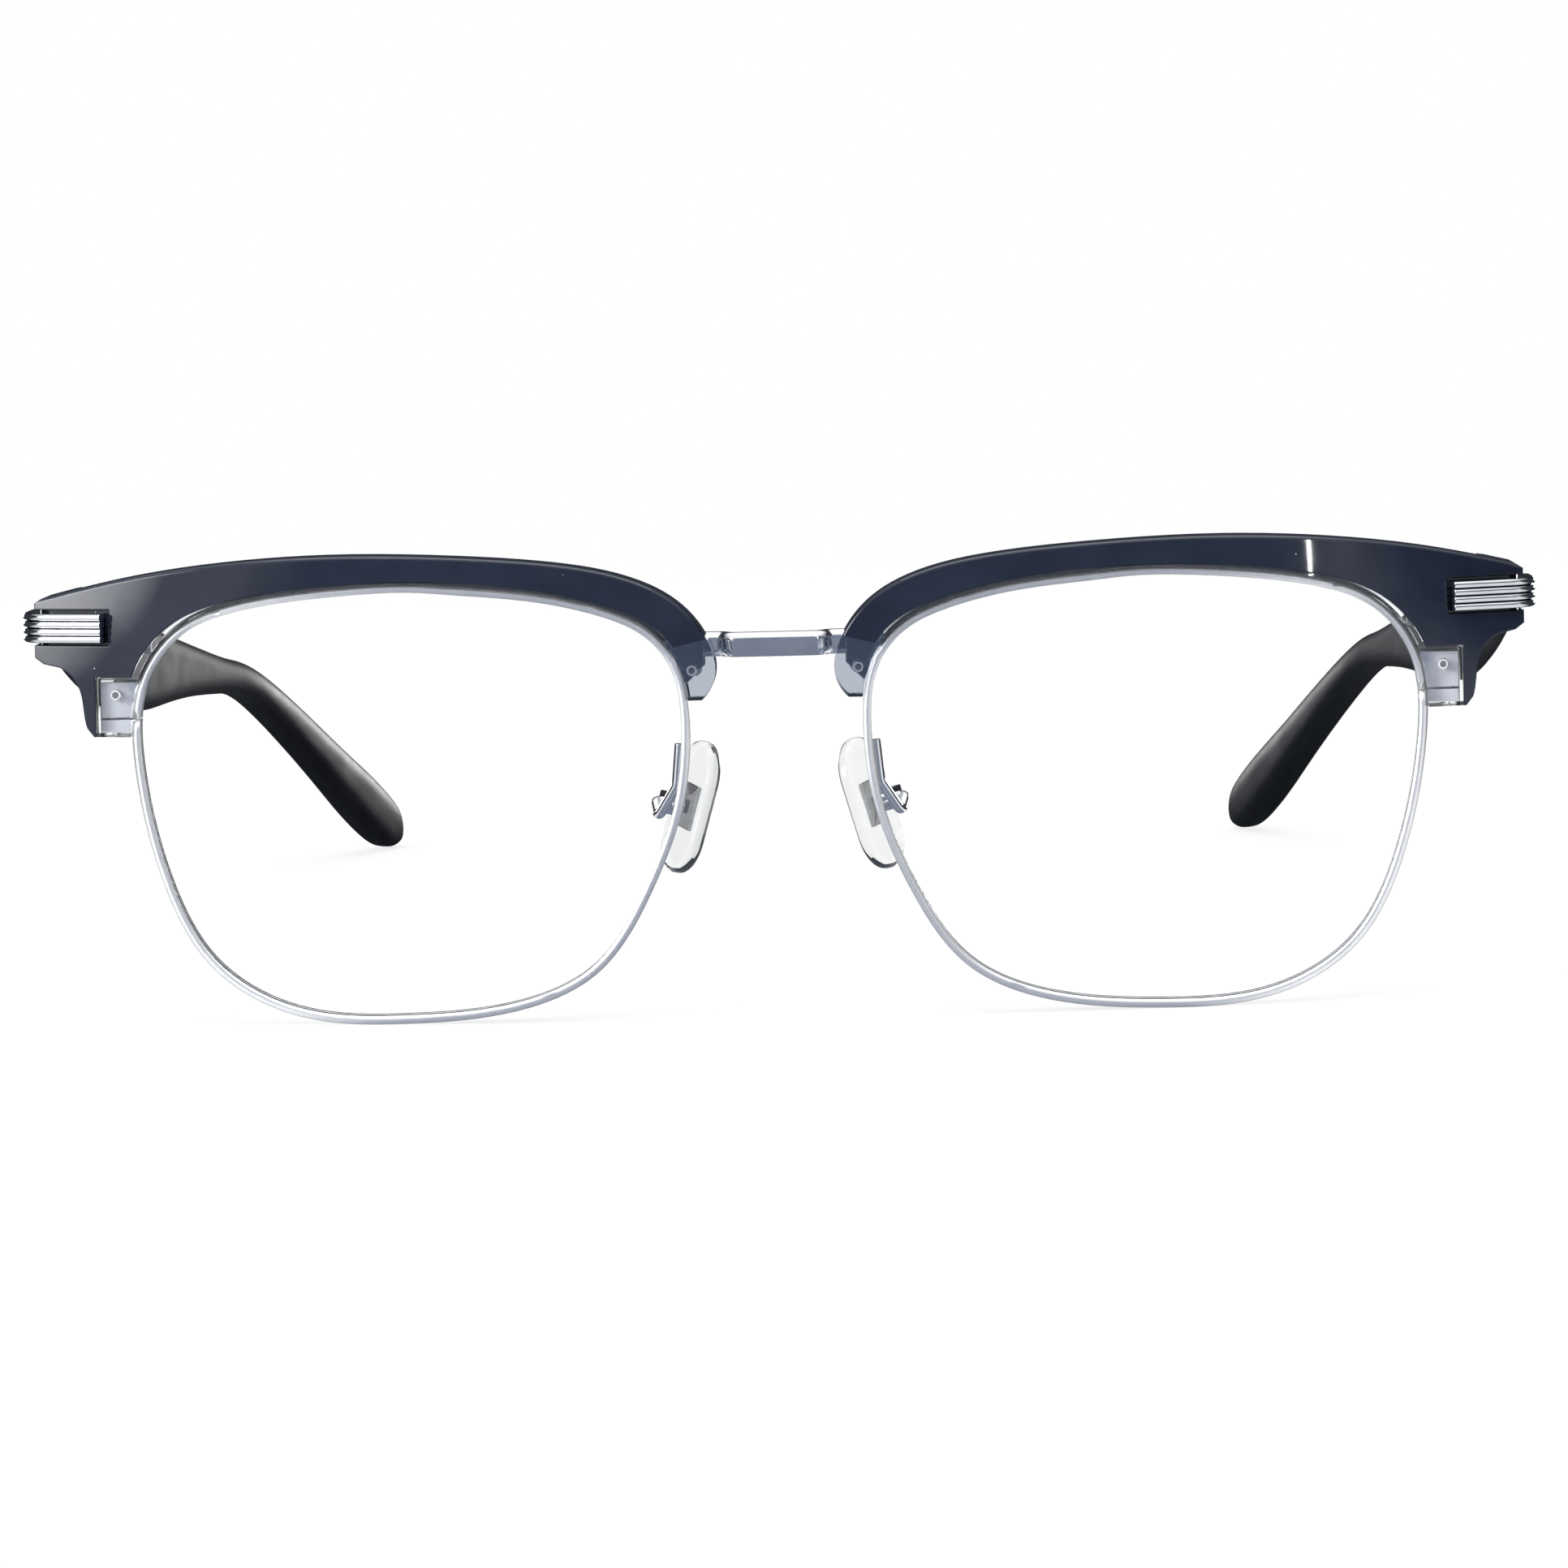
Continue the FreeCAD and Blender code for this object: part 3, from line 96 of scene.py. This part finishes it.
def vector_node(tree, operation, first, second=(0.0, 0.0, 0.0)):
    """Vector math on a linked vector and a plain one; returns the outputs."""
    node = tree.nodes.new("ShaderNodeVectorMath")
    node.operation = operation
    tree.links.new(first, node.inputs[0])
    node.inputs[1].default_value = second
    return node.outputs


def from_middle(tree):
    """Distance from the plane between the two sides."""
    return figure(tree, "ABSOLUTE", axes(tree, object_coordinates(tree))["X"])


def noise(tree, size_mm, detail=3.0):
    """Noise whose features are about size_mm across."""
    node = tree.nodes.new("ShaderNodeTexNoise")
    node.inputs["Scale"].default_value = 1.0 / (size_mm * MM)
    node.inputs["Detail"].default_value = detail
    tree.links.new(object_coordinates(tree), node.inputs["Vector"])
    return node.outputs["Fac"]


def spread(tree, value, low, high, start=0.3, end=0.7):
    """Maps the range from start to end onto the range from low to high, held at both ends."""
    node = tree.nodes.new("ShaderNodeMapRange")
    node.inputs["From Min"].default_value = start
    node.inputs["From Max"].default_value = end
    node.inputs["To Min"].default_value = low
    node.inputs["To Max"].default_value = high
    tree.links.new(value, node.inputs["Value"])
    return node.outputs["Result"]


def shades(tree, value, first, second, start=0.35, end=0.65):
    """Two plain colours blended by a number."""
    ramp = tree.nodes.new("ShaderNodeValToRGB")
    for stop, place, colour in zip(ramp.color_ramp.elements, (start, end), (first, second)):
        stop.position = place
        stop.color = (*colour, 1.0)
    tree.links.new(value, ramp.inputs["Fac"])
    return ramp.outputs["Color"]


def blend(tree, factor, first, second):
    """Two colours mixed by a share; a colour is a plain tuple or a link."""
    node = tree.nodes.new("ShaderNodeMix")
    node.data_type = "RGBA"
    tree.links.new(factor, node.inputs["Factor"])
    for socket, colour in ((node.inputs[6], first), (node.inputs[7], second)):
        if isinstance(colour, tuple):
            socket.default_value = (*colour, 1.0)
        else:
            tree.links.new(colour, socket)
    return node.outputs[2]


def mixed(tree, factor, first, second):
    """Two shaders mixed by a share."""
    node = tree.nodes.new("ShaderNodeMixShader")
    tree.links.new(factor, node.inputs["Fac"])
    tree.links.new(first, node.inputs[1])
    tree.links.new(second, node.inputs[2])
    return node.outputs["Shader"]


# Kinds of material

# Sizes of the patterns in millimetres: cloudiness of the colour and unevenness of the polish
ACETATE_CLOUD_MM = 7.0
ACETATE_POLISH_MM = 3.0
METAL_CLOUD_MM = 2.5
METAL_POLISH_MM = 0.8
CLEAR_CLOUD_MM = 9.0
CLEAR_POLISH_MM = 4.0
FINE_DETAIL = 4.0

ACETATE_IOR = 1.48
EDGE_SAMPLES = 6

# Dust: its colour, the distance between specks, and the part of a speck that has the full colour
DUST_SHADE = (0.5, 0.52, 0.55)
DUST_CELL_MM = 2.6
DUST_CORE = 0.6


def specks(tree, base, share):
    """Tiny dust specks on a base colour; share is a speck's part of its cell in the pattern."""
    cells = tree.nodes.new("ShaderNodeTexVoronoi")
    cells.inputs["Scale"].default_value = 1.0 / (DUST_CELL_MM * MM)
    tree.links.new(object_coordinates(tree), cells.inputs["Vector"])
    near = spread(tree, cells.outputs["Distance"], 1.0, 0.0, share * DUST_CORE, share)
    return blend(tree, near, base, DUST_SHADE)


def soften_edges(tree, shader, radius_mm):
    """Rounded look of polished edges."""
    bevel = tree.nodes.new("ShaderNodeBevel")
    bevel.samples = EDGE_SAMPLES
    bevel.inputs["Radius"].default_value = radius_mm * MM
    tree.links.new(bevel.outputs["Normal"], shader.inputs["Normal"])


def uneven_polish(tree, shader, size_mm, polish):
    """Roughness that wanders between two values."""
    tree.links.new(spread(tree, noise(tree, size_mm), *polish), shader.inputs["Roughness"])


def acetate(name, tones, polish, edge_mm, dust=None):
    """Opaque acetate, clouded between two tones, in places with a little dust."""
    material, tree, shader = new_material(name)
    colour = shades(tree, noise(tree, ACETATE_CLOUD_MM, FINE_DETAIL), *tones)
    if dust:
        colour = specks(tree, colour, dust)
    tree.links.new(colour, shader.inputs["Base Color"])
    uneven_polish(tree, shader, ACETATE_POLISH_MM, polish)
    shader.inputs["IOR"].default_value = ACETATE_IOR
    soften_edges(tree, shader, edge_mm)
    return material


def metal(name, polish, edge_mm, tones=None, metallic=1.0):
    """Plated metal, clouded between two tones, or with its colour left to another function."""
    material, tree, shader = new_material(name)
    if tones:
        colour = shades(tree, noise(tree, METAL_CLOUD_MM, FINE_DETAIL), *tones)
        tree.links.new(colour, shader.inputs["Base Color"])
    uneven_polish(tree, shader, METAL_POLISH_MM, polish)
    shader.inputs["Metallic"].default_value = metallic
    soften_edges(tree, shader, edge_mm)
    return material


def clear(name, ior, polish, gloss, tones=None, edge_mm=None):
    """See-through plastic, clouded between two tones, or with its colour left to another function."""
    material, tree, shader = new_material(name)
    if tones:
        colour = shades(tree, noise(tree, CLEAR_CLOUD_MM), *tones)
        tree.links.new(colour, shader.inputs["Base Color"])
    uneven_polish(tree, shader, CLEAR_POLISH_MM, polish)
    shader.inputs["IOR"].default_value = ior
    shader.inputs["Transmission Weight"].default_value = 1.0
    shader.inputs["Coat Weight"].default_value = gloss
    if edge_mm:
        soften_edges(tree, shader, edge_mm)
    return material


# Changes to a material by place

def satin_outside(material, near_mm, far_mm, extra):
    """Adds roughness beyond a distance from the middle, for the small blocks at the outer ends."""
    tree, shader = opened(material)
    polish = shader.inputs["Roughness"].links[0].from_socket
    added = spread(tree, from_middle(tree), 0.0, extra, near_mm * MM, far_mm * MM)
    tree.links.new(figure(tree, "ADD", polish, added), shader.inputs["Roughness"])


def painted_nose_shade(material, nose_shade_colour, clear_tint, near_mm, far_mm):
    """Paints clear plastic darker at its nose end: painted shade for the metal reflected all round in it.
    """
    tree, shader = opened(material)
    share = spread(tree, from_middle(tree), 0.0, 1.0, near_mm * MM, far_mm * MM)
    tree.links.new(shades(tree, share, nose_shade_colour, clear_tint, 0.0, 1.0), shader.inputs["Base Color"])


def painted_highlight_rings(material, places_mm, start_mm, end_mm, middle, highlight_ring):
    """Colours screws with a painted highlight ring round a darker middle; their places are distance from
    the middle and height.
    """
    tree, shader = opened(material)
    flat = tree.nodes.new("ShaderNodeCombineXYZ")
    tree.links.new(from_middle(tree), flat.inputs["X"])
    tree.links.new(axes(tree, object_coordinates(tree))["Z"], flat.inputs["Z"])
    nearest = None
    for aside, height in places_mm:
        gap = vector_node(tree, "DISTANCE", flat.outputs["Vector"], (aside * MM, 0.0, height * MM))["Value"]
        nearest = figure(tree, "MINIMUM", nearest, gap) if nearest else gap
    share = spread(tree, nearest, 0.0, 1.0, start_mm * MM, end_mm * MM)
    tree.links.new(shades(tree, share, middle, highlight_ring, 0.0, 1.0), shader.inputs["Base Color"])


# Part of a groove's painted shade line that has the full colour
GROOVE_CORE = 0.4


def painted_groove_shade(material, foot, pitch, share, colour):
    """Paints shade into the bottom of the grooves between level ribs, by height."""
    tree, shader = opened(material)
    base = shader.inputs["Base Color"].links[0].from_socket
    value = axes(tree, object_coordinates(tree))["Z"]
    for operation, amount in (("SUBTRACT", foot), ("DIVIDE", pitch), ("FRACT", 0.0), ("SUBTRACT", 0.5),
                              ("ABSOLUTE", 0.0)):
        value = figure(tree, operation, value, amount)
    groove = spread(tree, value, 0.0, 1.0, 0.5 - share, 0.5 - GROOVE_CORE * share)
    tree.links.new(blend(tree, groove, base, colour), shader.inputs["Base Color"])


# Materials by the record's slots; low indices keep veils and dark reflections out of the clear pieces

FINISHES = {
    "brow_acetate": (acetate, dict(tones=((0.009, 0.013, 0.026), (0.014, 0.019, 0.035)),
                                   polish=(0.015, 0.045), edge_mm=0.2, dust=0.03)),
    "temple_acetate": (acetate, dict(tones=((0.002, 0.003, 0.005), (0.004, 0.005, 0.008)),
                                     polish=(0.34, 0.40), edge_mm=2.2)),
    "crystal_acetate": (clear, dict(ior=1.3, polish=(0.0, 0.03), gloss=0.3, edge_mm=0.2)),
    "lens": (clear, dict(tones=((0.997, 0.998, 0.999), (1.0, 1.0, 1.0)),
                         ior=1.12, polish=(0.0, 0.004), gloss=0.0)),
    "pad_plastic": (clear, dict(tones=((0.93, 0.94, 0.94), (0.97, 0.975, 0.97)),
                                ior=1.075, polish=(0.02, 0.08), gloss=0.6)),
    "polished_metal": (metal, dict(tones=((0.78, 0.79, 0.82), (0.88, 0.89, 0.91)),
                                   polish=(0.05, 0.14), edge_mm=0.1)),
    "plaque_metal": (metal, dict(tones=((0.66, 0.68, 0.72), (0.76, 0.77, 0.80)),
                                 polish=(0.06, 0.16), edge_mm=0.12)),
    "hinge_metal": (metal, dict(tones=((0.70, 0.70, 0.715), (0.72, 0.72, 0.73)),
                                polish=(0.28, 0.30), edge_mm=0.12)),
    "screw_steel": (metal, dict(tones=((0.68, 0.68, 0.70), (0.76, 0.76, 0.77)),
                                polish=(0.16, 0.26), edge_mm=0.2)),
}
SEE_THROUGH = [slot for slot, (kind, values) in FINISHES.items() if kind is clear]
MATERIALS = {slot: kind(slot, **values) for slot, (kind, values) in FINISHES.items()}

PLAQUE_RIBS = 4
plaque_low, plaque_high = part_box("left_plaque")
rib_pitch = (plaque_high[2] - plaque_low[2]) / PLAQUE_RIBS
# Painted shade: dark lines in the plaque's grooves, where shade falls
painted_groove_shade(MATERIALS["plaque_metal"], plaque_low[2], rib_pitch, share=0.13, colour=(0.03, 0.03, 0.033))
satin_outside(MATERIALS["polished_metal"], near_mm=62.5, far_mm=64.0, extra=0.5)
# Painted shade: the crystal darker at its nose end, in place of the metal reflected in it
painted_nose_shade(MATERIALS["crystal_acetate"], nose_shade_colour=(0.46, 0.50, 0.57), clear_tint=(0.96, 0.97, 0.99),
           near_mm=9.5, far_mm=13.0)

# Finishes of single nodes: satin wire, and screws whose tips show in the clear blocks, with a painted
# highlight ring

# Places of the brow screws, as distance from the middle and height in millimetres
BROW_SCREWS = ((8.1, 34.2), (64.95, 32.7))

rim_metal = metal("rim_metal", tones=((0.90, 0.91, 0.93), (0.95, 0.955, 0.97)), polish=(0.28, 0.36),
                  edge_mm=0.1, metallic=0.8)
tip_steel = metal("tip_steel", polish=(0.25, 0.35), edge_mm=0.1, metallic=0.1)
# Painted highlight: a white ring round each screw tip
painted_highlight_rings(tip_steel, BROW_SCREWS, start_mm=0.30, end_mm=0.36, middle=(0.20, 0.20, 0.22),
            highlight_ring=(1.0, 1.0, 1.0))

own_finish = {}
for side in SIDES:
    own_finish[side + "_eyewire"] = rim_metal
    own_finish[side + "_brow_screws"] = tip_steel

for entry in frame["record"]["subparts"]:
    node = nodes[entry["node"]]
    slot = entry["material_slot"]
    node.data.materials.clear()
    node.data.materials.append(own_finish.get(entry["node"], MATERIALS[slot]))
    if slot in SEE_THROUGH:
        node.visible_shadow = False

# Shading that runs smoothly over the edges of the wires and temples

WELD_MM = 0.03


def round_look():
    """Node group that joins the faces, drops their stored normals and shades them smooth."""
    group = bpy.data.node_groups.new("round_look", "GeometryNodeTree")
    for way in ("INPUT", "OUTPUT"):
        group.interface.new_socket("Geometry", in_out=way, socket_type="NodeSocketGeometry")
    weld = group.nodes.new("GeometryNodeMergeByDistance")
    weld.inputs["Distance"].default_value = WELD_MM * MM
    drop = group.nodes.new("GeometryNodeRemoveAttribute")
    drop.inputs["Name"].default_value = "custom_normal"
    steps = (group.nodes.new("NodeGroupInput"), weld, drop, group.nodes.new("GeometryNodeSetShadeSmooth"),
             group.nodes.new("NodeGroupOutput"))
    for first, second in zip(steps, steps[1:]):
        group.links.new(first.outputs["Geometry"], second.inputs["Geometry"])
    return group


smooth_group = round_look()
for side in SIDES:
    for piece in ("_eyewire", "_temple"):
        nodes[side + piece].modifiers.new("round_look", "NODES").node_group = smooth_group

# Room that the glasses mirror: dim bluish patch round the camera, bright panels round it, dark beyond

PATCH_SHADE = (0.22, 0.25, 0.32)
PANEL_SHADE = (0.95, 0.96, 0.98)
DARK_SHADE = (0.04, 0.045, 0.055)
# Y of the headings between which the patch turns into the panels, and the panels into the dark
PATCH_TO_PANEL = (-0.88, -0.82)
PANEL_TO_DARK = (-0.45, -0.20)


def mirrored_room(tree, forward):
    """Colour of the room in a heading, by the heading's Y."""
    colour = PATCH_SHADE
    for limits, shade in ((PATCH_TO_PANEL, PANEL_SHADE), (PANEL_TO_DARK, DARK_SHADE)):
        colour = blend(tree, spread(tree, forward, 0.0, 1.0, *limits), colour, shade)
    return colour


def straight_look(tree):
    """Share of rays that look at something: from the camera, or straight through clear plastic."""
    path = tree.nodes.new("ShaderNodeLightPath").outputs
    turned_back = combine(tree, "SUBTRACT", path["Ray Depth"], path["Transmission Depth"])
    unturned = spread(tree, turned_back, 1.0, 0.0, 0.0, 1.0)
    through = combine(tree, "MULTIPLY", path["Is Transmission Ray"], unturned)
    return combine(tree, "MAXIMUM", path["Is Camera Ray"], through)


# Floor: white with a faint shadow where it is looked at, and as dim as the room where it is mirrored

FLOOR_HALF = 3.0
FLOOR_GAP_MM = 0.02
FLOOR_COLOUR = (0.86, 0.86, 0.86, 1.0)
FLOOR_ROUGHNESS = 0.9
# Share of plain white near the glasses; further out, between these distances, it grows to all
FLOOR_WHITE_NEAR = 0.80
SHADOW_REACH = (0.15, 0.60)

floor_height = cad_low.z - FLOOR_GAP_MM * MM
floor_corners = [(x * FLOOR_HALF, y * FLOOR_HALF, floor_height)
                 for x, y in ((-1, -1), (1, -1), (1, 1), (-1, 1))]
floor_mesh = bpy.data.meshes.new("floor")
floor_mesh.from_pydata(floor_corners, [], [(0, 1, 2, 3)])
floor = bpy.data.objects.new("floor", floor_mesh)
scene.collection.objects.link(floor)

floor_material, floor_tree, floor_shader = new_material("floor")
floor_shader.inputs["Base Color"].default_value = FLOOR_COLOUR
floor_shader.inputs["Roughness"].default_value = FLOOR_ROUGHNESS
floor_path = floor_tree.nodes.new("ShaderNodeLightPath").outputs
looked_at = straight_look(floor_tree)
bent = combine(floor_tree, "MAXIMUM", floor_path["Is Glossy Ray"], floor_path["Is Transmission Ray"])
mirrored = combine(floor_tree, "SUBTRACT", bent, looked_at)

floor_place = object_coordinates(floor_tree)
floor_far = vector_node(floor_tree, "LENGTH", floor_place)["Value"]
floor_white = spread(floor_tree, floor_far, FLOOR_WHITE_NEAR, 1.0, *SHADOW_REACH)
floor_share = combine(floor_tree, "MULTIPLY", floor_white, looked_at)
floor_glow = floor_tree.nodes.new("ShaderNodeEmission")

floor_heading = vector_node(floor_tree, "NORMALIZE", floor_place)["Vector"]
floor_image = floor_tree.nodes.new("ShaderNodeEmission")
floor_room = mirrored_room(floor_tree, axes(floor_tree, floor_heading)["Y"])
floor_tree.links.new(floor_room, floor_image.inputs["Color"])

floor_plain = mixed(floor_tree, floor_share, floor_shader.outputs["BSDF"], floor_glow.outputs["Emission"])
floor_all = mixed(floor_tree, mirrored, floor_plain, floor_image.outputs["Emission"])
floor_tree.links.new(floor_all, floor_tree.nodes["Material Output"].inputs["Surface"])
floor.data.materials.append(floor_material)

# World: the same room with a bright ceiling, a window and a dim corner; plain white where it is looked at

WHITE = (1.0, 1.0, 1.0)
CEILING_SHADE = (1.4, 1.4, 1.4)
# Z of the headings between which the room turns into the ceiling
ROOM_TO_CEILING = (0.55, 0.85)

world = bpy.data.worlds.new("room")
scene.world = world
world.use_nodes = True
sky = world.node_tree
background = sky.nodes["Background"]
heading = sky.nodes.new("ShaderNodeTexCoord").outputs["Generated"]
ways = axes(sky, heading)


def spot_in_room(colour, turn_deg, rise_deg, edge, core, shade):
    """Round soft spot of another colour, by its turn from the front and its rise."""
    turn = math.radians(turn_deg)
    rise = math.radians(rise_deg)
    centre = (math.sin(turn) * math.cos(rise), -math.cos(turn) * math.cos(rise), math.sin(rise))
    nearness = vector_node(sky, "DOT_PRODUCT", heading, centre)["Value"]
    return blend(sky, spread(sky, nearness, 0.0, 1.0, edge, core), colour, shade)


room = mirrored_room(sky, ways["Y"])
room = blend(sky, spread(sky, ways["Z"], 0.0, 1.0, *ROOM_TO_CEILING), room, CEILING_SHADE)
# Window in front to the photo's left, as the brow there shows it
room = spot_in_room(room, turn_deg=-56.0, rise_deg=19.0, edge=0.955, core=0.995, shade=(13.0, 13.1, 13.2))
# Dim corner to the photo's right
room = spot_in_room(room, turn_deg=50.0, rise_deg=17.0, edge=0.95, core=0.975, shade=(0.10, 0.11, 0.14))
sky.links.new(blend(sky, straight_look(sky), room, WHITE), background.inputs["Color"])
background.inputs["Strength"].default_value = 1.0


# Lamps

def softbox(name, place, target, width, height, power):
    """Rectangular lamp aimed at a point."""
    lamp = bpy.data.lights.new(name, "AREA")
    lamp.shape = "RECTANGLE"
    lamp.size = width
    lamp.size_y = height
    lamp.energy = power
    item = bpy.data.objects.new(name, lamp)
    item.location = place
    item.rotation_mode = "QUATERNION"
    item.rotation_quaternion = (Vector(target) - Vector(place)).to_track_quat("-Z", "Y")
    item.visible_camera = False
    item.visible_transmission = False
    scene.collection.objects.link(item)


FRONT_MIDDLE = (0.0, -0.05, 0.03)
TEMPLE_ENDS = (0.0, 0.05, 0.01)
softbox("top_box", (0.0, -0.15, 0.75), FRONT_MIDDLE, width=0.7, height=0.5, power=2.6)
softbox("back_right", (0.30, 0.46, 0.06), TEMPLE_ENDS, width=0.30, height=0.10, power=1.1)
softbox("back_left", (-0.30, 0.46, 0.06), TEMPLE_ENDS, width=0.20, height=0.10, power=0.5)
softbox("strip", (0.42, -0.75, 0.232), FRONT_MIDDLE, width=0.004, height=0.085, power=0.09)

# Camera: matched to the photograph, taken as 1932 by 1932 pixels

FRAME_PIXELS = 1932.0
FOCAL_PIXELS = 6223.0
SENSOR_WIDTH = 36.0
CLIP_START = 0.01
DISTANCE = 0.490
YAW = math.radians(1.7)
PITCH = math.radians(6.2)
ROLL = math.radians(1.5)
AIM = Vector((0.0006, -0.07439, 0.023))

camera_data = bpy.data.cameras.new("camera")
camera_data.sensor_width = SENSOR_WIDTH
camera_data.sensor_fit = "AUTO"
camera_data.lens = SENSOR_WIDTH * FOCAL_PIXELS / FRAME_PIXELS
camera_data.clip_start = CLIP_START
camera = bpy.data.objects.new("camera", camera_data)
scene.collection.objects.link(camera)
scene.camera = camera
forward = Vector((-math.sin(YAW) * math.cos(PITCH), math.cos(YAW) * math.cos(PITCH), -math.sin(PITCH)))
level_right = Vector((math.cos(YAW), math.sin(YAW), 0.0))
level_up = level_right.cross(forward)
right = level_right * math.cos(ROLL) - level_up * math.sin(ROLL)
up = level_right * math.sin(ROLL) + level_up * math.cos(ROLL)
facing = Matrix((right, up, -forward)).transposed()
camera.matrix_world = Matrix.Translation(AIM - forward * DISTANCE) @ facing.to_4x4()

scene.view_settings.view_transform = "Standard"
